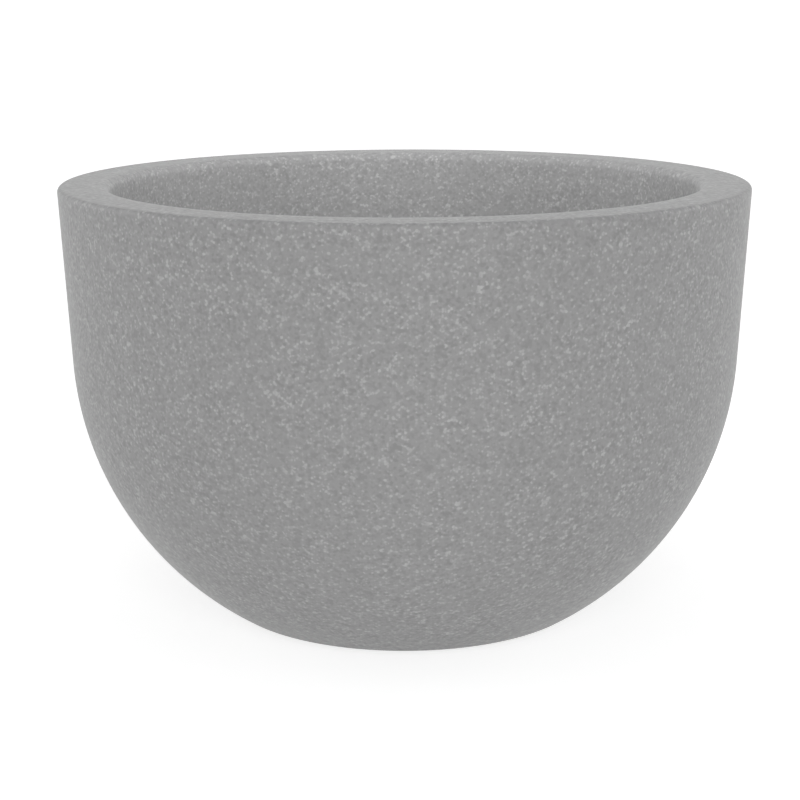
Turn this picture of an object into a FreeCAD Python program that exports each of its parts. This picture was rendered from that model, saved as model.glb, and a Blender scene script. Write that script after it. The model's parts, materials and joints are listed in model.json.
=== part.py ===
"""Round double-walled bowl planter with a screw-plugged drain and push-in feet.

All sizes are in millimetres. The origin lies on the floor under the middle of the bowl,
and +Z points up. Each piece is one solid, written to its own STEP file.
"""
import FreeCAD
import Part
import math
import os
from FreeCAD import Vector

# Bowl: a straight drafted wall that runs into a round bottom with a flat base
RIM_DIAMETER = 600.0
HEIGHT = 380.0
RIM_WIDTH = 44.0
WALL_DRAFT = 2.8  # degrees from upright
SHOULDER_HEIGHT = 228.0  # where the straight wall meets the round bottom
BASE_DIAMETER = 322.0
SKIN = 5.0  # each of the two walls of the hollow moulding
FLOOR_THICKNESS = 44.0  # from the underside of the base to the floor of the bowl
RIM_OUTER_ROUND = 4.0
RIM_INNER_ROUND = 8.0
BASE_ROUND = 10.0
FLOOR_ROUND = 25.0
POCKET_DRAFT = 3.0  # degrees, on the sides of the drain well and of the nut recess

# Feet: rubber pads in pockets of the base, each held by a barbed stem
FOOT_COUNT = 4
FOOT_DIAMETER = 40.0
FOOT_THICKNESS = 8.0
FOOT_PROUD = 3.0
FOOT_EDGE_INSET = 25.0  # from the edge of the base to the edge of a pad
FOOT_ROUND = 1.5
TREAD_DIAMETER = 26.0
TREAD_WIDTH = 2.0
TREAD_DEPTH = 1.0
STEM_DIAMETER = 8.0
BARB_STEP = 1.5  # how far a barb stands out from its stem
BARB_LENGTH = 7.0
BARB_TIP_DIAMETER = 6.0

# Vent plug: closes the hole through which the hollow moulding breathes
VENT_HOLE = 12.0
VENT_HEAD_STEP = 4.0  # how far the head reaches past the hole
VENT_HEAD_THICKNESS = 2.5
VENT_SEAT_DEPTH = 2.0
VENT_BARB_LENGTH = 6.0
VENT_HEAD_ROUND = 1.0

# Drain: a flanged bush through the floor, clamped by a back nut and closed by a screw plug
BUSH_BORE = 30.0
BUSH_WALL = 4.0
FLANGE_WIDTH = 10.0
FLANGE_THICKNESS = 4.0
FLANGE_BEVEL = 1.0
BUSH_GASKET_THICKNESS = 2.0
BUSH_TAIL = 2.0  # barrel left below the nut
OUTLET_STEP = 1.0  # how far the outlet socket is wider than the bore, all round
OUTLET_DEPTH = 12.0
NUT_WALL = 7.0  # from the thread to a flat
NUT_THICKNESS = 8.0
DRAIN_WEB = 6.0  # where the two walls of the moulding are joined round the drain
DRAIN_LIFT = 2.0  # from the base up to the mouth of the bush
WELL_GAP = 6.0  # round the flange
NUT_GAP = 10.0  # round the nut, for a spanner
WELL_ROUND = 5.0
RECESS_ROUND = 3.0

# Plug and its seal
PLUG_GASKET_WIDTH = 7.0
PLUG_GASKET_THICKNESS = 2.5
PLUG_OVERHANG = 1.0  # head past the gasket
PLUG_HEAD_THICKNESS = 5.0
PLUG_HEAD_ROUND = 1.5
PLUG_WALL = 3.5
THREAD_LENGTH = 9.0  # screwed into the bush, three turns of a coarse thread
GRIP_LENGTH = 36.0
GRIP_TOP_LENGTH = 30.0
GRIP_THICKNESS = 7.0
GRIP_HEIGHT = 11.0
GRIP_ROUND = 1.5

CLEARANCE = 0.3  # all round between a round piece and its hole

# Heights and radii that follow from the sizes above
UP = Vector(0, 0, 1)
draft = math.radians(WALL_DRAFT)
wall_normal = Vector(math.cos(draft), 0, -math.sin(draft))
wall_thickness = RIM_WIDTH * math.cos(draft)

base_z = FOOT_PROUD
floor_z = base_z + FLOOR_THICKNESS
recess_z = base_z + DRAIN_LIFT + BUSH_TAIL + NUT_THICKNESS
well_z = recess_z + DRAIN_WEB
flange_z = well_z + BUSH_GASKET_THICKNESS
seal_z = flange_z + FLANGE_THICKNESS
head_z = seal_z + PLUG_GASKET_THICKNESS

bore_r = BUSH_BORE / 2
barrel_r = bore_r + BUSH_WALL
outlet_r = bore_r + OUTLET_STEP
flange_r = barrel_r + FLANGE_WIDTH
drain_hole_r = barrel_r + CLEARANCE
well_r = flange_r + WELL_GAP
nut_flat_r = drain_hole_r + NUT_WALL
nut_corner_r = nut_flat_r / math.cos(math.radians(30))
recess_r = nut_corner_r + NUT_GAP
gasket_r = bore_r + PLUG_GASKET_WIDTH
head_r = gasket_r + PLUG_OVERHANG

foot_r = FOOT_DIAMETER / 2
foot_circle_r = BASE_DIAMETER / 2 - FOOT_EDGE_INSET - foot_r
stem_r = STEM_DIAMETER / 2
stem_hole_r = stem_r + CLEARANCE
vent_hole_r = VENT_HOLE / 2
vent_head_r = vent_hole_r + VENT_HEAD_STEP

# The arc of the round bottom passes through the edge of the base and is tangent to the wall
shoulder = Vector(RIM_DIAMETER / 2 - (HEIGHT - SHOULDER_HEIGHT) * math.tan(draft), 0, SHOULDER_HEIGHT)
base_edge = Vector(BASE_DIAMETER / 2, 0, base_z)
chord = shoulder - base_edge
arc_radius = chord.dot(chord) / (2 * chord.dot(wall_normal))
arc_centre = shoulder - wall_normal * arc_radius


def turned(points):
    """Solid of revolution about Z from the corners (radius, height) of its section."""
    corners = [Vector(radius, 0, height) for radius, height in points]
    section = Part.Face(Part.makePolygon(corners + corners[:1]))
    return section.revolve(Vector(), UP, 360)


def disc(radius, low, high):
    """Upright cylinder on the Z axis between two heights."""
    return Part.makeCylinder(radius, high - low, Vector(0, 0, low))


def tapered_disc(radius, closed_z, open_z):
    """Cone frustum on the Z axis that widens from its closed end to its open one by the pocket draft."""
    depth = abs(open_z - closed_z)
    mouth_radius = radius + depth * math.tan(math.radians(POCKET_DRAFT))
    if open_z > closed_z:
        return Part.makeCone(radius, mouth_radius, depth, Vector(0, 0, closed_z))
    return Part.makeCone(mouth_radius, radius, depth, Vector(0, 0, open_z))


def bowl_form(inset, low, high):
    """Solid inside the outer face of the bowl, moved inwards by an inset, between two heights."""
    radius = arc_radius - inset
    low_angle = math.asin((low - arc_centre.z) / radius)
    middle_angle = (low_angle - draft) / 2

    def on_arc(angle):
        return arc_centre + Vector(math.cos(angle), 0, math.sin(angle)) * radius

    low_edge = on_arc(low_angle)
    tangent = on_arc(-draft)
    high_edge = tangent + Vector(math.tan(draft), 0, 1) * (high - tangent.z)
    outline = [
        Part.LineSegment(Vector(0, 0, low), low_edge),
        Part.Arc(low_edge, on_arc(middle_angle), tangent),
        Part.LineSegment(tangent, high_edge),
        Part.LineSegment(high_edge, Vector(0, 0, high)),
        Part.LineSegment(Vector(0, 0, high), Vector(0, 0, low)),
    ]
    section = Part.Face(Part.Wire([curve.toShape() for curve in outline]))
    return section.revolve(Vector(), UP, 360)


def rounded_ring(shape, size, height, outermost=True):
    """Round the outermost or the innermost of the circles about Z at one height."""
    near = 1e-4
    rings = [edge for edge in shape.Edges if isinstance(edge.Curve, Part.Circle)]
    rings = [edge for edge in rings if abs(edge.Curve.Center.z - height) < near]
    radii = [edge.Curve.Radius for edge in rings]
    wanted = max(radii) if outermost else min(radii)
    return shape.makeFillet(size, [edge for edge in rings if abs(edge.Curve.Radius - wanted) < near])


def round_the_base(shape, count, start_angle):
    """Copies of a shape from the Z axis, spaced evenly on the circle of the feet."""
    copies = []
    for index in range(count):
        angle = math.radians(start_angle + 360.0 * index / count)
        copies.append(shape.translated(Vector(math.cos(angle), math.sin(angle), 0) * foot_circle_r))
    return copies


def at_the_feet(shape):
    """Copies of a shape at every foot, with the first foot half a step from +X."""
    return round_the_base(shape, FOOT_COUNT, 180.0 / FOOT_COUNT)


def at_the_vent(shape):
    """Copy of a shape at the vent, halfway between the last foot and the first."""
    return round_the_base(shape, 1, 0.0)[0]


def foot_pocket(wall):
    """Space of a pad in the base, grown by a wall."""
    return disc(foot_r + CLEARANCE + wall, base_z, FOOT_THICKNESS + wall)


def vent_seat(wall):
    """Space of the vent plug's head in the base, grown by a wall."""
    return disc(vent_head_r + CLEARANCE + wall, base_z, base_z + VENT_SEAT_DEPTH + wall)


def drain_well(wall):
    """Pocket in the floor of the bowl for the flange and the plug, grown by a wall."""
    return tapered_disc(well_r + wall, well_z - wall, floor_z)


def nut_recess(wall):
    """Pocket in the base for the nut, grown by a wall."""
    return tapered_disc(recess_r + wall, recess_z + wall, base_z)


def hollow():
    """Air space between the two walls, which leaves a skin round everything set into them."""
    space = bowl_form(SKIN, base_z + SKIN, HEIGHT - SKIN)
    space = space.cut(bowl_form(wall_thickness - SKIN, floor_z - SKIN, HEIGHT))
    bosses = [drain_well(SKIN), nut_recess(SKIN), at_the_vent(vent_seat(SKIN))]
    return space.cut(bosses + at_the_feet(foot_pocket(SKIN)))


def planter_body():
    """Hollow bowl with a drain well, a recess for the nut, foot pockets and a vent."""
    outside = bowl_form(0, base_z, HEIGHT)
    outside = rounded_ring(outside, RIM_OUTER_ROUND, HEIGHT)
    outside = rounded_ring(outside, BASE_ROUND, base_z)
    inside = bowl_form(wall_thickness, floor_z, HEIGHT)
    inside = rounded_ring(inside, FLOOR_ROUND, floor_z)
    body = outside.cut(inside)
    body = rounded_ring(body, RIM_INNER_ROUND, HEIGHT, outermost=False)
    body = body.cut([drain_well(0), nut_recess(0)])
    body = rounded_ring(body, WELL_ROUND, floor_z, outermost=False)
    body = rounded_ring(body, RECESS_ROUND, base_z, outermost=False)
    holes = [disc(drain_hole_r, recess_z, well_z)]
    holes += at_the_feet(foot_pocket(0))
    holes += at_the_feet(disc(stem_hole_r, FOOT_THICKNESS, FOOT_THICKNESS + SKIN))
    holes.append(at_the_vent(vent_seat(0)))
    vent_roof = base_z + VENT_SEAT_DEPTH
    holes.append(at_the_vent(disc(vent_hole_r, vent_roof, vent_roof + SKIN)))
    return body.cut(holes + [hollow()])


def barbed_stem(radius, low, length, tip_radius):
    """Stem through one skin with a barb that snaps behind it."""
    shelf = low + SKIN
    barb_r = radius + BARB_STEP + CLEARANCE
    tip = shelf + length
    return turned([(0, low), (radius, low), (radius, shelf), (barb_r, shelf), (tip_radius, tip), (0, tip)])


def foot_pad():
    """Rubber pad on the Z axis with a ring tread below and a barbed stem above."""
    pad = rounded_ring(disc(foot_r, 0, FOOT_THICKNESS), FOOT_ROUND, 0)
    tread = disc(TREAD_DIAMETER / 2, 0, TREAD_DEPTH)
    tread = tread.cut(disc(TREAD_DIAMETER / 2 - TREAD_WIDTH, 0, TREAD_DEPTH))
    stem = barbed_stem(stem_r, FOOT_THICKNESS, BARB_LENGTH, BARB_TIP_DIAMETER / 2)
    return pad.cut(tread).fuse(stem).removeSplitter()


def vent_plug():
    """Push-in plug on the Z axis with a low round head in the base and a barbed stem."""
    seat = base_z + VENT_SEAT_DEPTH
    face = seat - VENT_HEAD_THICKNESS
    head = rounded_ring(disc(vent_head_r, face, seat), VENT_HEAD_ROUND, face)
    stem_radius = vent_hole_r - CLEARANCE
    stem = barbed_stem(stem_radius, seat, VENT_BARB_LENGTH, stem_radius - BARB_STEP)
    return head.fuse(stem).removeSplitter()


def drain_bush():
    """Flanged barrel that lines the drain, with a socket for a drain pipe at its lower end."""
    foot = base_z + DRAIN_LIFT
    socket = foot + OUTLET_DEPTH
    return turned([
        (bore_r, socket),
        (outlet_r, socket),
        (outlet_r, foot),
        (barrel_r, foot),
        (barrel_r, flange_z),
        (flange_r, flange_z),
        (flange_r, seal_z - FLANGE_BEVEL),
        (flange_r - FLANGE_BEVEL, seal_z),
        (bore_r, seal_z),
    ])


def bush_gasket():
    """Flat ring under the flange of the bush."""
    return disc(flange_r, well_z, flange_z).cut(disc(drain_hole_r, well_z, flange_z))


def drain_nut():
    """Hexagonal back nut with its outer corners turned off, up against the roof of the recess."""
    low = recess_z - NUT_THICKNESS
    corners = []
    for index in range(7):
        angle = math.radians(60 * index)
        corners.append(Vector(nut_corner_r * math.cos(angle), nut_corner_r * math.sin(angle), low))
    prism = Part.Face(Part.makePolygon(corners)).extrude(UP * NUT_THICKNESS)
    corner_height = nut_corner_r - nut_flat_r
    turned_blank = turned([
        (0, low),
        (nut_flat_r, low),
        (nut_flat_r + 2 * corner_height, low + corner_height),
        (nut_flat_r + 2 * corner_height, recess_z),
        (0, recess_z),
    ])
    return prism.common(turned_blank).cut(disc(drain_hole_r, low, recess_z))


def plug_gasket():
    """Flat ring between the flange and the head of the plug."""
    return disc(gasket_r, seal_z, head_z).cut(disc(bore_r, seal_z, head_z))


def plug_grip():
    """Upright tapered wing that a hand turns."""
    low = head_z + PLUG_HEAD_THICKNESS
    high = low + GRIP_HEIGHT
    side = -GRIP_THICKNESS / 2
    corners = [
        Vector(-GRIP_LENGTH / 2, side, low),
        Vector(GRIP_LENGTH / 2, side, low),
        Vector(GRIP_TOP_LENGTH / 2, side, high),
        Vector(-GRIP_TOP_LENGTH / 2, side, high),
    ]
    wing = Part.Face(Part.makePolygon(corners + corners[:1])).extrude(Vector(0, GRIP_THICKNESS, 0))
    upper = [edge for edge in wing.Edges if max(vertex.Z for vertex in edge.Vertexes) > high - 1e-4]
    return wing.makeFillet(GRIP_ROUND, upper)


def drain_plug():
    """Round head with a wing on top and a hollow threaded shank below."""
    shank_r = bore_r - CLEARANCE
    foot = seal_z - THREAD_LENGTH
    top = head_z + PLUG_HEAD_THICKNESS
    head = rounded_ring(disc(head_r, head_z, top), PLUG_HEAD_ROUND, top)
    shank = disc(shank_r, foot, head_z).cut(disc(shank_r - PLUG_WALL, foot, head_z))
    return head.fuse([shank, plug_grip()]).removeSplitter()


def pieces():
    """Every piece of the planter by name, in place."""
    named = {
        "planter_body": planter_body(),
        "drain_bush": drain_bush(),
        "bush_gasket": bush_gasket(),
        "drain_nut": drain_nut(),
        "plug_gasket": plug_gasket(),
        "drain_plug": drain_plug(),
        "vent_plug": at_the_vent(vent_plug()),
    }
    for number, pad in enumerate(at_the_feet(foot_pad()), 1):
        named[f"foot_pad_{number}"] = pad
    return named


os.makedirs("parts", exist_ok=True)
for name, shape in pieces().items():
    shape.exportStep(f"parts/{name}.step")
    print(f"{name}: {len(shape.Solids)} solid, {shape.Volume / 1000:.1f} cm3")
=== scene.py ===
"""Looks of a round bowl planter: a granite-look moulding with its drain fitting, vent plug and feet.

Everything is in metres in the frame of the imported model, with the floor at height 0.
"""

import json
import logging
import math
from dataclasses import dataclass
from enum import Enum
from functools import cached_property, reduce

import bmesh
import bpy
from bmesh.types import BMesh, BMFace, BMVert
from bpy.types import Material, Node, NodeSocket, Object
from mathutils import Matrix, Vector


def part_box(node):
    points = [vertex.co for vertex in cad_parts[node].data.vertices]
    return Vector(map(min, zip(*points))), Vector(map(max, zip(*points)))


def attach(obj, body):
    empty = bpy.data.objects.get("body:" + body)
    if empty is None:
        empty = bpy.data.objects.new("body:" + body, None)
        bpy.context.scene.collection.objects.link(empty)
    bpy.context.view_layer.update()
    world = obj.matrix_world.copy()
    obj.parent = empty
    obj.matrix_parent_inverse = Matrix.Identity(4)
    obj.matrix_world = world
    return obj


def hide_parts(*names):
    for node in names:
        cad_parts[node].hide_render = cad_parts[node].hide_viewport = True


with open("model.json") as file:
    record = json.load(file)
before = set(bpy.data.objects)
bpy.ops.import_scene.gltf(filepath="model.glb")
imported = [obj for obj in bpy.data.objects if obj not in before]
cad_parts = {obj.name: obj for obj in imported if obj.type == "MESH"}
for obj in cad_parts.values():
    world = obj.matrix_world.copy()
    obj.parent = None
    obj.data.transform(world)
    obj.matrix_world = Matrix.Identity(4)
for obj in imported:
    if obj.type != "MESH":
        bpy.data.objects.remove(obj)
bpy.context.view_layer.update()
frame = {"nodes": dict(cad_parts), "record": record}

MM = 0.001
NEAR = 1e-6  # metres within which two points are one
LEVEL = 10 * NEAR  # metres within which an edge lies in a flat face
SHARP_ANGLE = math.radians(35)  # edges that turn by more are sharp
BROADSIDE = 0.99  # least share of a face's normal that points along an axis it is square to

log = logging.getLogger("planter")


class Body(Enum):
    """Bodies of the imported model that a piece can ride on."""

    PLANTER = "planter"
    PLUG_SEAL = "plug_seal"
    DRAIN_PLUG = "drain_plug"


class Slot(Enum):
    """Material slots of the record."""

    GRANITE = "granite_moulding"
    FITTING = "drain_fitting"
    PLUG = "plug_plastic"
    SEAL = "seal_rubber"
    FOOT = "foot_rubber"


class Sheet:
    """Node sheet of one material, with a method for each kind of node that the finishes use."""

    def __init__(self, name: str) -> None:
        """Start a material with its usual shader.

        Args:
            name: name of the material.
        """
        self.material: Material = bpy.data.materials.new(name)
        self.material.use_nodes = True
        self.tree = self.material.node_tree
        self.shader: Node = self.tree.nodes["Principled BSDF"]

    @cached_property
    def place(self) -> NodeSocket:
        """Coordinates of the object."""
        return self.add("ShaderNodeTexCoord", {}).outputs["Object"]

    def add(self, kind: str, inputs: dict, **settings) -> Node:
        """Add a node.

        Args:
            kind: type name of the node.
            inputs: sockets to link or constants to set, by input name or number.
            settings: properties of the node.

        Returns:
            The new node.
        """
        node = self.tree.nodes.new(kind)
        for name, value in settings.items():
            setattr(node, name, value)
        for name, value in inputs.items():
            self.put(node, name, value)
        return node

    def put(self, node: Node, name: str | int, value: object) -> None:
        """Link a socket to an input, or set the input to a constant.

        Args:
            node: node that has the input.
            name: name or number of the input.
            value: socket or constant.
        """
        if isinstance(value, NodeSocket):
            self.tree.links.new(value, node.inputs[name])
        else:
            node.inputs[name].default_value = value

    def math(self, operation: str, first: object, second: object) -> NodeSocket:
        """Result of a calculation with two numbers."""
        return self.add("ShaderNodeMath", {0: first, 1: second}, operation=operation).outputs[0]

    def noise(self, scale: float, detail: float, place: NodeSocket | None = None) -> NodeSocket:
        """Cloudy pattern.

        Args:
            scale: clouds to a metre, about.
            detail: finer layers on top.
            place: coordinates to read, or None for those of the object.

        Returns:
            A number of about 0.5 on average.
        """
        inputs = {"Vector": place or self.place, "Scale": scale, "Detail": detail}
        return self.add("ShaderNodeTexNoise", inputs).outputs[0]

    def ramp(self, value: NodeSocket, start: float, end: float, low: float, high: float) -> NodeSocket:
        """Carry a number smoothly from one range to another.

        Args:
            value: number to carry over.
            start: value that gives low.
            end: value that gives high.
            low: result at and before start.
            high: result at and after end.

        Returns:
            The number in its new range.
        """
        inputs = {0: value, 1: start, 2: end, 3: low, 4: high}
        return self.add("ShaderNodeMapRange", inputs, interpolation_type="SMOOTHSTEP").outputs[0]

    def blend(self, share: NodeSocket, first: object, second: object) -> NodeSocket:
        """Colour between two colours."""
        node = self.add("ShaderNodeMix", {0: share, 6: first, 7: second}, data_type="RGBA")
        return node.outputs[2]

    def bump(self, height: NodeSocket, depth: float) -> None:
        """Raise the surface by a pattern of heights from 0 to 1, up to a depth in metres."""
        inputs = {"Height": height, "Distance": depth, "Strength": 1.0}
        self.put(self.shader, "Normal", self.add("ShaderNodeBump", inputs).outputs[0])


def grey(level: float) -> tuple[float, float, float, float]:
    """Neutral colour of a linear level."""
    return (level, level, level, 1.0)


@dataclass(frozen=True)
class GrainLayer:
    """Grains of the moulding powder, each with its own tone, melted into their neighbours."""

    per_metre: float
    melt: float  # 0 for crisp borders between grains, 1 for the softest
    share: float  # of the finish's tone

    def tone(self, sheet: Sheet, place: NodeSocket) -> NodeSocket:
        """Give each grain its tone.

        Args:
            sheet: sheet to add the nodes to.
            place: coordinates to read.

        Returns:
            A number from 0 for the darkest grain to this layer's share for the palest.
        """
        inputs = {"Vector": place, "Scale": self.per_metre, "Smoothness": self.melt}
        grains = sheet.add("ShaderNodeTexVoronoi", inputs, feature="SMOOTH_F1")
        level = sheet.add("ShaderNodeSeparateColor", {0: grains.outputs["Color"]}).outputs[0]
        return sheet.math("MULTIPLY", level, self.share)


@dataclass(frozen=True)
class GraniteFinish:
    """Matte moulded polyethylene of dark, grey and pale grains, with a faint orange-peel skin.

    A pair of tones or a range gives the values at which a blend starts and ends.
    """

    name: str = "granite_moulding"
    dark: float = 0.218
    ground: float = 0.262
    pale: float = 0.388
    grains: tuple[GrainLayer, ...] = (
        GrainLayer(per_metre=470.0, melt=0.9, share=0.75),
        GrainLayer(per_metre=235.0, melt=0.8, share=0.25),
    )
    dark_tones: tuple[float, float] = (0.46, 0.12)
    pale_tones: tuple[float, float] = (0.495, 0.95)
    ragged_per_metre: float = 700.0
    raggedness: float = 0.9 * MM
    patch_per_metre: float = 28.0
    patch_least: float = 0.75
    patch_detail: float = 1.0
    patch_range: tuple[float, float] = (0.35, 0.65)
    roughness: float = 0.58
    roughness_spread: float = 0.08
    peel_per_metre: float = 260.0
    peel_detail: float = 2.0
    peel_depth: float = 0.03 * MM
    peel_range: tuple[float, float] = (0.3, 0.7)
    sheen: float = 0.1
    sheen_roughness: float = 0.3

    def material(self) -> Material:
        """Make the material.

        Returns:
            The material, ready for a mesh.
        """
        sheet = Sheet(self.name)
        wander = sheet.add("ShaderNodeTexNoise", {"Vector": sheet.place, "Scale": self.ragged_per_metre})
        stir = sheet.add(
            "ShaderNodeVectorMath",
            {0: wander.outputs["Color"], 1: Vector.Fill(3, self.raggedness), 2: sheet.place},
            operation="MULTIPLY_ADD",
        )
        tones = [layer.tone(sheet, stir.outputs[0]) for layer in self.grains]
        tone = reduce(lambda total, further: sheet.math("ADD", total, further), tones)
        clouds = sheet.noise(self.patch_per_metre, self.patch_detail)
        patches = sheet.ramp(clouds, *self.patch_range, self.patch_least, 1.0)
        darkness = sheet.math("MULTIPLY", sheet.ramp(tone, *self.dark_tones, 0.0, 1.0), patches)
        paleness = sheet.math("MULTIPLY", sheet.ramp(tone, *self.pale_tones, 0.0, 1.0), patches)
        ground = sheet.blend(darkness, grey(self.ground), grey(self.dark))
        sheet.put(sheet.shader, "Base Color", sheet.blend(paleness, ground, grey(self.pale)))
        peel = sheet.noise(self.peel_per_metre, self.peel_detail)
        smooth = self.roughness - self.roughness_spread
        rough = self.roughness + self.roughness_spread
        sheet.put(sheet.shader, "Roughness", sheet.ramp(peel, *self.peel_range, smooth, rough))
        sheet.put(sheet.shader, "Sheen Weight", self.sheen)
        sheet.put(sheet.shader, "Sheen Roughness", self.sheen_roughness)
        sheet.bump(peel, self.peel_depth)
        return sheet.material


@dataclass(frozen=True)
class MouldedFinish:
    """Dark moulded plastic or rubber with a fine grain, uneven gloss and a breath of dust."""

    name: str
    colour: tuple[float, float, float]
    roughness: float
    roughness_spread: float
    grain_per_metre: float
    grain_depth: float
    grain_detail: float = 1.0
    cloud_per_metre: float = 90.0
    cloud_detail: float = 3.0
    dust: float = 0.05
    dust_range: tuple[float, float] = (0.45, 0.8)
    gloss_range: tuple[float, float] = (0.3, 0.7)

    def material(self) -> Material:
        """Make the material.

        Returns:
            The material, ready for a mesh.
        """
        sheet = Sheet(self.name)
        clouds = sheet.noise(self.cloud_per_metre, self.cloud_detail)
        grain = sheet.noise(self.grain_per_metre, self.grain_detail)
        clean = (*self.colour, 1.0)
        dusty = (*(channel + self.dust for channel in self.colour), 1.0)
        share = sheet.ramp(clouds, *self.dust_range, 0.0, 1.0)
        sheet.put(sheet.shader, "Base Color", sheet.blend(share, clean, dusty))
        smooth = self.roughness - self.roughness_spread
        rough = self.roughness + self.roughness_spread
        sheet.put(sheet.shader, "Roughness", sheet.ramp(clouds, *self.gloss_range, smooth, rough))
        sheet.bump(grain, self.grain_depth)
        return sheet.material


def recorded_colour(slot: Slot) -> tuple[float, float, float]:
    """Base colour that the record gives a material slot."""
    return next(tuple(m["base_color"]) for m in frame["record"]["materials"] if m["slot"] == slot.value)


class Section:
    """Wire of a turned piece's section, drawn in the XZ plane from corner to corner."""

    def __init__(self, radius: float, height: float) -> None:
        """Put the pen down.

        Args:
            radius: radius of the first point.
            height: height of the first point.
        """
        self.mesh: BMesh = bmesh.new()
        self.pen: BMVert = self.mesh.verts.new((radius, 0.0, height))
        self.corners: list[tuple[BMVert, float]] = []

    def line(self, radius: float, height: float, rounding: float = 0.0) -> "Section":
        """Draw a straight line.

        Args:
            radius: radius of its end.
            height: height of its end.
            rounding: radius of the corner there, or 0 for a sharp one.

        Returns:
            This section, for the next stroke.
        """
        corner = self.mesh.verts.new((radius, 0.0, height))
        self.mesh.edges.new((self.pen, corner))
        self.pen = corner
        return self.rounded(rounding)

    def rounded(self, rounding: float) -> "Section":
        """Note that the corner under the pen is to be rounded.

        Args:
            rounding: radius of the corner, or 0 for a sharp one.

        Returns:
            This section, for the next stroke.
        """
        if rounding:
            self.corners.append((self.pen, rounding))
        return self

    def arc(self, centre: Vector, angle: float, steps: int) -> "Section":
        """Draw an arc.

        Args:
            centre: its centre in the XZ plane.
            angle: angle that it turns through, from +X towards -Z.
            steps: straight steps along it.

        Returns:
            This section, for the next stroke.
        """
        swept = bmesh.ops.spin(
            self.mesh, geom=[self.pen], cent=centre, axis=(0.0, 1.0, 0.0), angle=angle, steps=steps
        )
        self.pen = swept["geom_last"][0]
        return self

    def turned(self, steps: int, longest: float = 5 * MM, segments: int = 6) -> BMesh:
        """Round the corners, divide the long lines and turn the section about Z.

        Args:
            steps: steps round the axis.
            longest: length above which a line is divided.
            segments: steps round a corner.

        Returns:
            The turned surface.
        """
        for corner, radius in self.corners:
            ways = [(edge.other_vert(corner).co - corner.co) for edge in corner.link_edges]
            bmesh.ops.bevel(
                self.mesh,
                geom=[corner],
                offset=radius / math.tan(ways[0].angle(ways[1]) / 2),
                offset_type="OFFSET",
                segments=segments,
                profile=0.5,
                affect="VERTICES",
                material=-1,
            )
        for edge in self.mesh.edges[:]:
            cuts = math.ceil(edge.calc_length() / longest) - 1
            if cuts > 0:
                bmesh.ops.subdivide_edges(self.mesh, edges=[edge], cuts=cuts)
        bmesh.ops.spin(
            self.mesh,
            geom=self.mesh.verts[:] + self.mesh.edges[:],
            cent=(0.0, 0.0, 0.0),
            axis=(0.0, 0.0, 1.0),
            angle=math.tau,
            steps=steps,
            use_merge=True,
        )
        bmesh.ops.remove_doubles(self.mesh, verts=self.mesh.verts, dist=NEAR)
        return self.mesh


@dataclass(frozen=True)
class Thread:
    """Right-hand screw thread about Z, cut off square at both ends."""

    root: float
    crest: float
    pitch: float
    low: float
    high: float
    phase: float = 0.0  # share of the pitch by which the ridges are higher than those of phase 0
    crest_share: float = 0.25  # of the pitch
    flank_share: float = 0.2  # of the pitch
    steps: int = 48  # to a turn
    spare: int = 2  # turns wound past each end, to be cut off

    def swept(self) -> BMesh:
        """Wind one ridge up the axis.

        Returns:
            The threaded surface, open at both ends.
        """
        mesh = bmesh.new()
        start = (math.floor(self.low / self.pitch) - self.spare + self.phase) * self.pitch
        half_crest = self.crest_share / 2
        outline = [
            (self.root, -0.5),
            (self.root, -half_crest - self.flank_share),
            (self.crest, -half_crest),
            (self.crest, half_crest),
            (self.root, half_crest + self.flank_share),
            (self.root, 0.5),
        ]
        points = [mesh.verts.new((radius, 0.0, start + share * self.pitch)) for radius, share in outline]
        lines = [mesh.edges.new(pair) for pair in zip(points, points[1:])]
        turns = math.ceil((self.high - self.low) / self.pitch) + 2 * self.spare
        bmesh.ops.spin(
            mesh,
            geom=points + lines,
            cent=(0.0, 0.0, 0.0),
            axis=(0.0, 0.0, 1.0),
            dvec=(0.0, 0.0, self.pitch / self.steps),
            angle=math.tau * turns,
            steps=self.steps * turns,
        )
        bmesh.ops.remove_doubles(mesh, verts=mesh.verts, dist=NEAR)
        for height, kept in ((self.low, 1.0), (self.high, -1.0)):
            bmesh.ops.bisect_plane(
                mesh,
                geom=mesh.verts[:] + mesh.edges[:] + mesh.faces[:],
                plane_co=(0.0, 0.0, height),
                plane_no=(0.0, 0.0, kept),
                clear_inner=True,
                dist=NEAR,
            )
        return mesh


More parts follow.
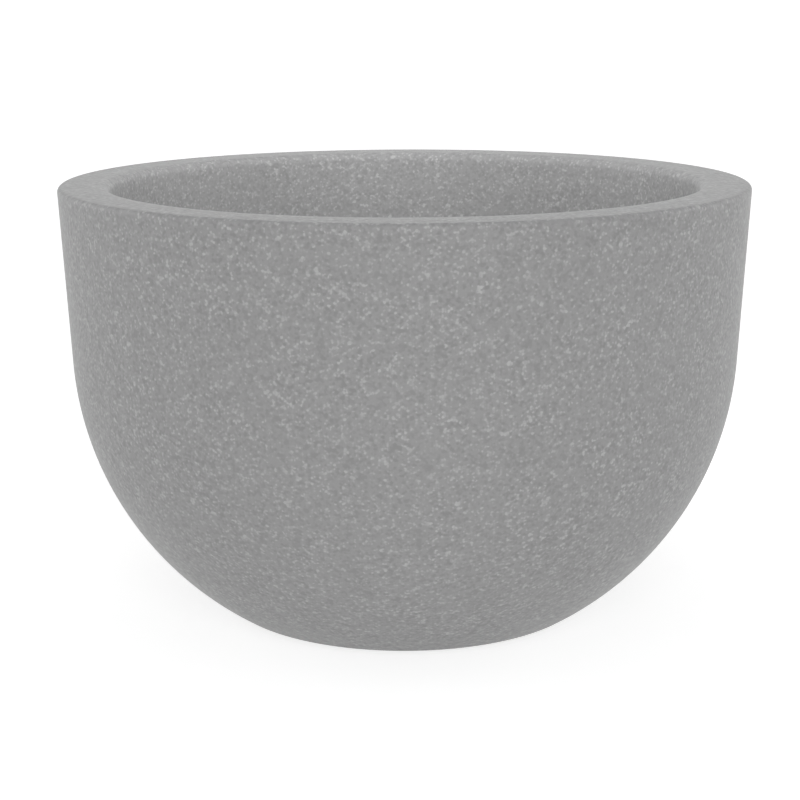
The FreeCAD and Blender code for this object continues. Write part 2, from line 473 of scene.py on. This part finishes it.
class Workpiece:
    """Mesh of one piece, put together from turned, wound and cut surfaces."""

    def __init__(self, name: str) -> None:
        """Start with an empty mesh."""
        self.name = name
        self.mesh: BMesh = bmesh.new()

    def add(self, part: BMesh, place: Vector | None = None) -> "Workpiece":
        """Add a surface, moved to its place.

        Args:
            part: surface to add, which is used up.
            place: how far it moves, or None for not at all.

        Returns:
            This workpiece, for the next surface.
        """
        if place is not None:
            bmesh.ops.translate(part, verts=part.verts, vec=place)
        carrier = bpy.data.meshes.new("carrier")
        part.to_mesh(carrier)
        part.free()
        self.mesh.from_mesh(carrier)
        bpy.data.meshes.remove(carrier)
        return self

    def fill(self, height: float) -> "Workpiece":
        """Close the flat face between all open edges at one height.

        Args:
            height: height of the face.

        Returns:
            This workpiece, for the next surface.
        """
        edges = [edge for edge in self.mesh.edges if edge.is_boundary]
        level = [e for e in edges if all(abs(v.co.z - height) < LEVEL for v in e.verts)]
        bmesh.ops.triangle_fill(self.mesh, edges=level, use_beauty=True, normal=(0.0, 0.0, 1.0))
        return self

    def dressed(self, material: Material, body: Body, slot: Slot, node: str) -> Object:
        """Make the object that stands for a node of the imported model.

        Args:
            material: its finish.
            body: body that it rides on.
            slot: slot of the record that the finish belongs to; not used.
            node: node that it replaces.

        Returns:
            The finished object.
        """
        bmesh.ops.remove_doubles(self.mesh, verts=self.mesh.verts, dist=NEAR)
        bmesh.ops.recalc_face_normals(self.mesh, faces=self.mesh.faces)
        for face in self.mesh.faces:
            face.smooth = True
        mesh = bpy.data.meshes.new(self.name)
        self.mesh.to_mesh(mesh)
        self.mesh.free()
        mesh.set_sharp_from_angle(angle=SHARP_ANGLE)
        mesh.materials.append(material)
        piece = bpy.data.objects.new(self.name, mesh)
        bpy.context.scene.collection.objects.link(piece)
        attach(piece, body.value)
        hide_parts(node)
        log.info("%s: %d faces, rides on %s", self.name, len(mesh.polygons), body.value)
        return piece


@dataclass
class FootSet:
    """Push-in rubber feet, each with a ring tread, a stem and a barb, and the space that it needs."""

    material: Material
    count: int = 4
    circle: float = 116 * MM
    radius: float = 20 * MM
    thickness: float = 8 * MM
    edge_round: float = 1.5 * MM
    tread_radius: float = 13 * MM
    tread_width: float = 2 * MM
    tread_depth: float = 1 * MM
    tread_round: float = 0.4 * MM
    stem: float = 4 * MM
    barb: float = 5.8 * MM
    tip: float = 3 * MM
    barb_length: float = 7 * MM
    skin: float = 5 * MM
    clearance: float = 0.3 * MM
    steps: int = 72

    def places(self) -> list[Vector]:
        """Where the feet are round the base, with the first half a step from +X."""
        angles = [math.tau * (index + 0.5) / self.count for index in range(self.count)]
        return [Vector((math.cos(angle), math.sin(angle), 0.0)) * self.circle for angle in angles]

    def pocket(self, base: float) -> BMesh:
        """Draw the space of one foot.

        Args:
            base: height of the bowl's base, where the space is open.

        Returns:
            The space's surface, on the Z axis.
        """
        hole, room = self.stem + self.clearance, self.barb + self.clearance
        shelf = self.thickness + self.skin
        roof = shelf + self.barb_length + self.clearance
        section = Section(self.radius + self.clearance, base)
        section.line(self.radius + self.clearance, self.thickness).line(hole, self.thickness)
        section.line(hole, shelf).line(room, shelf).line(room, roof).line(0.0, roof)
        return section.turned(self.steps)

    def pad(self) -> BMesh:
        """Draw one foot.

        Returns:
            The foot's surface, on the Z axis.
        """
        inner = self.tread_radius - self.tread_width
        shelf = self.thickness + self.skin
        section = Section(0.0, 0.0).line(inner, 0.0, self.tread_round)
        section.line(inner, self.tread_depth).line(self.tread_radius, self.tread_depth)
        section.line(self.tread_radius, 0.0, self.tread_round).line(self.radius, 0.0, self.edge_round)
        section.line(self.radius, self.thickness).line(self.stem, self.thickness)
        section.line(self.stem, shelf).line(self.barb, shelf)
        section.line(self.tip, shelf + self.barb_length).line(0.0, shelf + self.barb_length)
        return section.turned(self.steps)

    def build(self) -> None:
        """Make every foot."""
        for number, place in enumerate(self.places(), 1):
            piece = Workpiece(f"rubber_foot_{number}").add(self.pad(), place)
            piece.dressed(self.material, Body.PLANTER, Slot.FOOT, f"foot_pad_{number}")


@dataclass
class VentPlug:
    """Push-in plug of the moulding's vent, and the space that it needs."""

    material: Material
    place: Vector
    face: float = 2.5 * MM
    seat: float = 5 * MM
    head: float = 10 * MM
    head_round: float = 1 * MM
    stem: float = 5.7 * MM
    barb: float = 7.5 * MM
    tip: float = 4.2 * MM
    barb_length: float = 6 * MM
    skin: float = 5 * MM
    clearance: float = 0.3 * MM
    steps: int = 64

    def pocket(self, base: float) -> BMesh:
        """Draw the space of the plug.

        Args:
            base: height of the bowl's base, where the space is open.

        Returns:
            The space's surface, on the Z axis.
        """
        head, hole, room = (size + self.clearance for size in (self.head, self.stem, self.barb))
        shelf = self.seat + self.skin
        roof = shelf + self.barb_length + self.clearance
        section = Section(head, base).line(head, self.seat).line(hole, self.seat)
        section.line(hole, shelf).line(room, shelf).line(room, roof).line(0.0, roof)
        return section.turned(self.steps)

    def build(self) -> None:
        """Make the plug."""
        shelf = self.seat + self.skin
        section = Section(0.0, self.face).line(self.head, self.face, self.head_round)
        section.line(self.head, self.seat).line(self.stem, self.seat)
        section.line(self.stem, shelf).line(self.barb, shelf)
        section.line(self.tip, shelf + self.barb_length).line(0.0, shelf + self.barb_length)
        piece = Workpiece("vent_stopper").add(section.turned(self.steps), self.place)
        piece.dressed(self.material, Body.PLANTER, Slot.PLUG, "vent_plug")


@dataclass
class BowlBody:
    """The bowl: a straight drafted wall, a thick flat rim, a round bottom and a flat base."""

    material: Material
    rim_width: float = 44 * MM
    draft: float = math.radians(2.8)
    shoulder: float = 228 * MM
    base_radius: float = 161 * MM
    floor_thickness: float = 44 * MM
    rim_outer_round: float = 4 * MM
    rim_inner_round: float = 8 * MM
    base_round: float = 10 * MM
    floor_round: float = 25 * MM
    pocket_draft: float = math.radians(3)
    well_radius: float = 35 * MM
    well_depth: float = 26 * MM
    well_round: float = 5 * MM
    recess_radius: float = 40.37 * MM
    recess_depth: float = 12 * MM
    recess_round: float = 3 * MM
    drain_radius: float = 19.3 * MM
    base_edge: float = 12 * MM  # flat left beside a rounded edge of the base
    outer_steps: int = 48
    inner_steps: int = 24
    steps: int = 192

    def __post_init__(self) -> None:
        """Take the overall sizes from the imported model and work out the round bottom."""
        low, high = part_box("planter_body")
        self.base, self.height, self.rim_radius = low.z, high.z, high.x
        self.floor = self.base + self.floor_thickness
        self.wall = Vector((math.cos(self.draft), 0.0, -math.sin(self.draft)))
        self.thickness = self.rim_width * math.cos(self.draft)
        edge = Vector((self.base_radius, 0.0, self.base))
        lean = (self.height - self.shoulder) * math.tan(self.draft)
        self.tangent = Vector((self.rim_radius - lean, 0.0, self.shoulder))
        chord = self.tangent - edge
        self.arc_radius = chord.length_squared / (2 * chord.dot(self.wall))
        self.centre = self.tangent - self.wall * self.arc_radius

    def section(self) -> Section:
        """Draw the bowl from the flat of the base, up the drain, over the rim and down to the base again.

        Returns:
            The section, open on the base.
        """
        spread = math.tan(self.pocket_draft)
        recess, well = self.base + self.recess_depth, self.floor - self.well_depth
        mouth = self.recess_radius + self.recess_depth * spread
        inner_radius = self.arc_radius - self.thickness
        inner_angle = math.asin((self.centre.z - self.floor) / inner_radius)
        outer_angle = math.asin((self.centre.z - self.base) / self.arc_radius)
        floor_edge = self.centre.x + inner_radius * math.cos(inner_angle)
        section = Section(mouth + self.base_edge, self.base)
        section.line(mouth, self.base, self.recess_round)
        section.line(self.recess_radius, recess).line(self.drain_radius, recess)
        section.line(self.drain_radius, well).line(self.well_radius, well)
        section.line(self.well_radius + self.well_depth * spread, self.floor, self.well_round)
        section.line(floor_edge, self.floor, self.floor_round)
        section.arc(self.centre, self.draft - inner_angle, self.inner_steps)
        section.line(self.rim_radius - self.rim_width, self.height, self.rim_inner_round)
        section.line(self.rim_radius, self.height, self.rim_outer_round)
        section.line(self.tangent.x, self.tangent.z)
        section.arc(self.centre, outer_angle - self.draft, self.outer_steps).rounded(self.base_round)
        return section.line(self.base_radius - self.base_edge, self.base)

    def build(self, feet: FootSet, vent: VentPlug) -> None:
        """Make the bowl.

        Args:
            feet: feet to cut pockets for.
            vent: vent plug to cut a pocket for.
        """
        piece = Workpiece("granite_bowl").add(self.section().turned(self.steps))
        for place in feet.places():
            piece.add(feet.pocket(self.base), place)
        piece.add(vent.pocket(self.base), vent.place).fill(self.base)
        piece.dressed(self.material, Body.PLANTER, Slot.GRANITE, "planter_body")


@dataclass
class DrainFitting:
    """Flanged bush through the floor with its gasket and its back nut."""

    plastic: Material
    rubber: Material
    bore: float = 15 * MM
    bore_crest: float = 13.9 * MM
    barrel: float = 19 * MM
    barrel_crest: float = 18.9 * MM
    barrel_root: float = 18 * MM
    barrel_pitch: float = 2.5 * MM
    barrel_plain_end: float = 0.8 * MM
    socket: float = 16 * MM
    socket_depth: float = 12 * MM
    flange_thickness: float = 4 * MM
    flange_round: float = 1.2 * MM
    edge_round: float = 0.4 * MM
    nut_top: float = 15 * MM
    pitch: float = 3 * MM
    steps: int = 96

    def bush(self) -> Workpiece:
        """Make the bush, with a thread inside for the plug and one outside for the nut.

        Returns:
            The bush.
        """
        low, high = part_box("drain_bush")
        flange, under, roof = high.x, high.z - self.flange_thickness, low.z + self.socket_depth
        tail = low.z + self.barrel_plain_end
        tail_radius = self.barrel_root - self.edge_round
        top = Section(self.socket, high.z).line(flange, high.z, self.flange_round)
        top.line(flange, under, self.edge_round).line(self.barrel, under).line(self.barrel, self.nut_top)
        end = Section(tail_radius, tail).line(tail_radius, low.z, self.edge_round)
        end.line(self.socket, low.z).line(self.socket, roof)
        inside = Thread(self.bore, self.bore_crest, self.pitch, roof, high.z, phase=0.5)
        outside = Thread(self.barrel_root, self.barrel_crest, self.barrel_pitch, tail, self.nut_top)
        piece = Workpiece("drain_bush_threaded").add(top.turned(self.steps)).add(end.turned(self.steps))
        piece.add(inside.swept()).add(outside.swept())
        for height in (high.z, roof, self.nut_top, tail):
            piece.fill(height)
        return piece

    def build(self) -> None:
        """Make the bush and its gasket, and dress the nut."""
        self.bush().dressed(self.plastic, Body.PLANTER, Slot.FITTING, "drain_bush")
        ring = flat_ring("bush_gasket", self.barrel, self.edge_round, self.steps)
        ring.dressed(self.rubber, Body.PLANTER, Slot.SEAL, "bush_gasket")
        nut: Object = frame["nodes"]["drain_nut"]
        nut.data.materials.clear()
        nut.data.materials.append(self.plastic)
        log.info("drain_nut: finish only")


def flat_ring(node: str, bore: float, rounding: float, steps: int) -> Workpiece:
    """Flat seal with softened edges in the space of a node.

    Args:
        node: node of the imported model.
        bore: radius of its hole.
        rounding: radius of its edges.
        steps: steps round the axis.

    Returns:
        The seal.
    """
    low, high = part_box(node)
    middle = (bore + high.x) / 2
    section = Section(middle, low.z).line(high.x, low.z, rounding).line(high.x, high.z, rounding)
    section.line(bore, high.z, rounding).line(bore, low.z, rounding).line(middle, low.z)
    return Workpiece(f"{node}_soft").add(section.turned(steps))


@dataclass
class DrainPlug:
    """Screw plug with a hollow threaded shank, a round head and a ribbed wing, and its seal."""

    plastic: Material
    rubber: Material
    head: float = 23 * MM
    head_thickness: float = 5 * MM
    head_round: float = 1.5 * MM
    edge_round: float = 0.5 * MM
    seal_bore: float = 15 * MM
    root: float = 13.6 * MM
    crest: float = 14.7 * MM
    pitch: float = 3 * MM
    neck: float = 13.2 * MM
    hollow: float = 11.2 * MM
    lead: float = 0.6 * MM
    wing_length: float = 36 * MM
    wing_top_length: float = 30 * MM
    wing_thickness: float = 7 * MM
    wing_round: float = 1.5 * MM
    wing_round_steps: int = 5
    wing_sink: float = 0.3 * MM
    rib_count: int = 5
    rib_pitch: float = 4 * MM
    rib_width: float = 2 * MM
    rib_slope: float = 0.4 * MM
    rib_height: float = 0.5 * MM
    steps: int = 96

    def shank_and_head(self) -> Workpiece:
        """Make the turned head and the hollow shank with its thread.

        Returns:
            The plug without its wing.
        """
        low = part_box("drain_plug")[0]
        seal_low, seal_high = (corner.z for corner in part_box("plug_gasket"))
        top = seal_high + self.head_thickness
        lead = low.z + self.lead
        head = Section(self.neck, seal_low).line(self.neck, seal_high, self.edge_round)
        head.line(self.head, seal_high, self.edge_round).line(self.head, top, self.head_round)
        head.line(0.0, top)
        inside = Section(self.neck, lead).line(self.neck, low.z, self.edge_round)
        inside.line(self.hollow, low.z, self.edge_round).line(self.hollow, seal_high).line(0.0, seal_high)
        thread = Thread(self.root, self.crest, self.pitch, lead, seal_low)
        piece = Workpiece("drain_plug_threaded").add(head.turned(self.steps)).add(inside.turned(self.steps))
        return piece.add(thread.swept()).fill(seal_low).fill(lead)

    def wing(self) -> BMesh:
        """Make the tapered upright wing with grip ribs on both sides.

        Returns:
            The wing, with its foot sunk a little into the head.
        """
        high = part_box("drain_plug")[1]
        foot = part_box("plug_gasket")[1].z + self.head_thickness - self.wing_sink
        mesh = bmesh.new()
        bmesh.ops.create_cube(mesh, size=1.0)
        size = Vector((self.wing_length, self.wing_thickness, high.z - foot))
        bmesh.ops.scale(mesh, verts=mesh.verts, vec=size)
        upper = [vert for vert in mesh.verts if vert.co.z > 0]
        bmesh.ops.scale(mesh, verts=upper, vec=(self.wing_top_length / self.wing_length, 1.0, 1.0))
        bmesh.ops.translate(mesh, verts=mesh.verts, vec=(0.0, 0.0, (high.z + foot) / 2))
        rounded = [e for e in mesh.edges if max(vert.co.z for vert in e.verts) > foot + NEAR]
        bmesh.ops.bevel(
            mesh,
            geom=rounded,
            offset=self.wing_round,
            segments=self.wing_round_steps,
            profile=0.5,
            affect="EDGES",
            material=-1,
        )
        self.add_ribs(mesh)
        return mesh

    @staticmethod
    def broad_sides(mesh: BMesh) -> list[BMFace]:
        """Faces of the wing's two broad sides."""
        return [face for face in mesh.faces if abs(face.normal.y) > BROADSIDE]

    def add_ribs(self, mesh: BMesh) -> None:
        """Raise upright ribs on the two broad sides of the wing.

        Args:
            mesh: the wing.
        """
        half = self.rib_width / 2
        middles = [(index - (self.rib_count - 1) / 2) * self.rib_pitch for index in range(self.rib_count)]
        for cut in [middle + side for middle in middles for side in (-half, half)]:
            broad = self.broad_sides(mesh)
            edges = {edge for face in broad for edge in face.edges}
            verts = {vert for face in broad for vert in face.verts}
            bmesh.ops.bisect_plane(
                mesh,
                geom=[*verts, *edges, *broad],
                plane_co=(cut, 0.0, 0.0),
                plane_no=(1.0, 0.0, 0.0),
                dist=NEAR,
            )
        centres = [(face, face.calc_center_median().x) for face in self.broad_sides(mesh)]
        ribs = [face for face, x in centres if any(abs(x - middle) < self.rib_slope for middle in middles)]
        bmesh.ops.inset_individual(mesh, faces=ribs, thickness=self.rib_slope, depth=self.rib_height)

    def build(self) -> None:
        """Make the plug and its seal."""
        piece = self.shank_and_head().add(self.wing())
        piece.dressed(self.plastic, Body.DRAIN_PLUG, Slot.PLUG, "drain_plug")
        ring = flat_ring("plug_gasket", self.seal_bore, self.edge_round, self.steps)
        ring.dressed(self.rubber, Body.PLUG_SEAL, Slot.SEAL, "plug_gasket")


@dataclass(frozen=True)
class FarLamp:
    """Broad soft lamp far from the planter, so that it lights the whole of it evenly."""

    name: str
    azimuth: float  # degrees from the camera's side, positive to the right
    elevation: float  # degrees
    strength: float
    spread: float  # degrees that it fills

    def build(self) -> None:
        """Hang the lamp and aim it at the origin."""
        lamp = bpy.data.lights.new(self.name, "SUN")
        lamp.energy = self.strength
        lamp.angle = math.radians(self.spread)
        holder = bpy.data.objects.new(self.name, lamp)
        holder.rotation_euler = (math.radians(90 - self.elevation), 0.0, math.radians(self.azimuth))
        bpy.context.scene.collection.objects.link(holder)


@dataclass(frozen=True)
class NearLamp:
    """Soft round lamp close over the planter, which no surface mirrors."""

    name: str
    place: tuple[float, float, float]
    watts: float
    radius: float  # of its glowing ball

    def build(self) -> None:
        """Hang the lamp."""
        lamp = bpy.data.lights.new(self.name, "POINT")
        lamp.energy = self.watts
        lamp.shadow_soft_size = self.radius
        holder = bpy.data.objects.new(self.name, lamp)
        holder.location = self.place
        holder.visible_glossy = False
        bpy.context.scene.collection.objects.link(holder)


@dataclass
class Studio:
    """White light table, soft lamps, white surroundings and the camera."""

    camera_place: tuple[float, float, float] = (-0.00448, -1.60127, 0.54912)
    camera_pitch: float = math.radians(12.916)
    camera_roll: float = math.radians(-0.197)
    lens: float = 82.09  # millimetres
    sensor: float = 36.0  # millimetres
    floor_reach: float = 100.0  # far enough for the floor to fill the picture
    floor_level: float = -0.2 * MM  # just under the feet, so that the two share no plane
    floor_seen: float = 0.45  # white of the floor to the eye
    floor_glow: float = 0.74  # glow of the floor to the eye
    floor_lit: float = 0.85  # white of the floor to the planter
    table_light: float = 0.25  # glow of the floor to the planter
    sky: float = 0.28  # strength of the surroundings on the planter
    lamps: tuple[FarLamp | NearLamp, ...] = (
        FarLamp("front", azimuth=2, elevation=22, strength=1.48, spread=40),
        FarLamp("side_left", azimuth=-110, elevation=18, strength=0.72, spread=40),
        FarLamp("side_right", azimuth=110, elevation=18, strength=0.66, spread=40),
        FarLamp("top", azimuth=0, elevation=90, strength=0.5, spread=60),
        NearLamp("over_bowl", place=(0.0, 0.04, 0.52), watts=1.6, radius=0.1),
    )

    def build(self) -> None:
        """Set the stage."""
        self.build_floor()
        self.build_sky()
        self.build_camera()
        for lamp in self.lamps:
            lamp.build()
            log.info("lamp %s", lamp.name)
        bpy.context.scene.view_settings.view_transform = "Standard"

    @staticmethod
    def seen(tree: bpy.types.NodeTree) -> NodeSocket:
        """Tell the rays that the eye follows from those that light the planter.

        Args:
            tree: node tree to add the nodes to.

        Returns:
            A number that is 1 for rays from the camera, off gloss and through glass, and 0 for the rest.
        """
        path = tree.nodes.new("ShaderNodeLightPath")
        share = path.outputs["Is Camera Ray"]
        for name in ("Is Glossy Ray", "Is Transmission Ray"):
            either = tree.nodes.new("ShaderNodeMath")
            either.operation = "MAXIMUM"
            tree.links.new(share, either.inputs[0])
            tree.links.new(path.outputs[name], either.inputs[1])
            share = either.outputs[0]
        return share

    def build_floor(self) -> None:
        """Floor that shows white to the eye, with the planter's shadow on it."""
        mesh = bmesh.new()
        bmesh.ops.create_grid(mesh, x_segments=1, y_segments=1, size=self.floor_reach)
        bmesh.ops.translate(mesh, verts=mesh.verts, vec=(0.0, 0.0, self.floor_level))
        data = bpy.data.meshes.new("floor")
        mesh.to_mesh(data)
        mesh.free()
        data.materials.append(self.paper())
        floor = bpy.data.objects.new("floor", data)
        bpy.context.scene.collection.objects.link(floor)

    def paper(self) -> Material:
        """Make the white sheet of a light table, which keeps shadows and is clear from below.

        Returns:
            The material.
        """
        sheet = Sheet("white_paper")
        seen = self.seen(sheet.tree)
        colour = sheet.blend(seen, grey(self.floor_lit), grey(self.floor_seen))
        diffuse = sheet.add("ShaderNodeBsdfDiffuse", {"Color": colour})
        more = sheet.math("MULTIPLY", seen, self.floor_glow - self.table_light)
        glow = sheet.add("ShaderNodeEmission", {"Strength": sheet.math("ADD", more, self.table_light)})
        both = sheet.add("ShaderNodeAddShader", {0: diffuse.outputs[0], 1: glow.outputs[0]})
        clear = sheet.add("ShaderNodeBsdfTransparent", {})
        below = sheet.add("ShaderNodeNewGeometry", {}).outputs["Backfacing"]
        face = sheet.add("ShaderNodeMixShader", {0: below, 1: both.outputs[0], 2: clear.outputs[0]})
        sheet.put(sheet.tree.nodes["Material Output"], "Surface", face.outputs[0])
        sheet.tree.nodes.remove(sheet.shader)
        return sheet.material

    def build_sky(self) -> None:
        """Even white surroundings."""
        world = bpy.data.worlds.new("surroundings")
        world.use_nodes = True
        tree = world.node_tree
        background = tree.nodes["Background"]
        background.inputs["Color"].default_value = grey(1.0)
        strength = tree.nodes.new("ShaderNodeMapRange")
        tree.links.new(self.seen(tree), strength.inputs[0])
        strength.inputs[3].default_value = self.sky
        tree.links.new(strength.outputs[0], background.inputs["Strength"])
        bpy.context.scene.world = world

    def build_camera(self) -> None:
        """Camera at the photograph's angle."""
        data = bpy.data.cameras.new("camera")
        data.lens = self.lens
        data.sensor_width = self.sensor
        camera = bpy.data.objects.new("camera", data)
        camera.location = self.camera_place
        pitch = Matrix.Rotation(math.pi / 2 - self.camera_pitch, 3, "X")
        camera.rotation_euler = (pitch @ Matrix.Rotation(self.camera_roll, 3, "Z")).to_euler()
        bpy.context.scene.collection.objects.link(camera)
        bpy.context.scene.camera = camera


def main() -> None:
    """Build the pieces, dress them and set the stage."""
    logging.basicConfig(level=logging.INFO, format="%(name)s: %(message)s")
    granite = GraniteFinish().material()
    fitting = MouldedFinish(
        "fitting_plastic",
        recorded_colour(Slot.FITTING),
        roughness=0.42,
        roughness_spread=0.06,
        grain_per_metre=2500.0,
        grain_depth=0.02 * MM,
    )
    plug = MouldedFinish(
        "plug_plastic",
        recorded_colour(Slot.PLUG),
        roughness=0.4,
        roughness_spread=0.06,
        grain_per_metre=2500.0,
        grain_depth=0.02 * MM,
    )
    seal = MouldedFinish(
        "seal_rubber",
        recorded_colour(Slot.SEAL),
        roughness=0.72,
        roughness_spread=0.08,
        grain_per_metre=1800.0,
        grain_depth=0.03 * MM,
    )
    foot = MouldedFinish(
        "foot_rubber",
        recorded_colour(Slot.FOOT),
        roughness=0.78,
        roughness_spread=0.08,
        grain_per_metre=1500.0,
        grain_depth=0.04 * MM,
    )
    plug_plastic, seal_rubber = plug.material(), seal.material()
    feet = FootSet(foot.material())
    vent = VentPlug(plug_plastic, Vector((feet.circle, 0.0, 0.0)))
    BowlBody(granite).build(feet, vent)
    feet.build()
    vent.build()
    DrainFitting(fitting.material(), seal_rubber).build()
    DrainPlug(plug_plastic, seal_rubber).build()
    Studio().build()


if __name__ == "__main__":
    main()
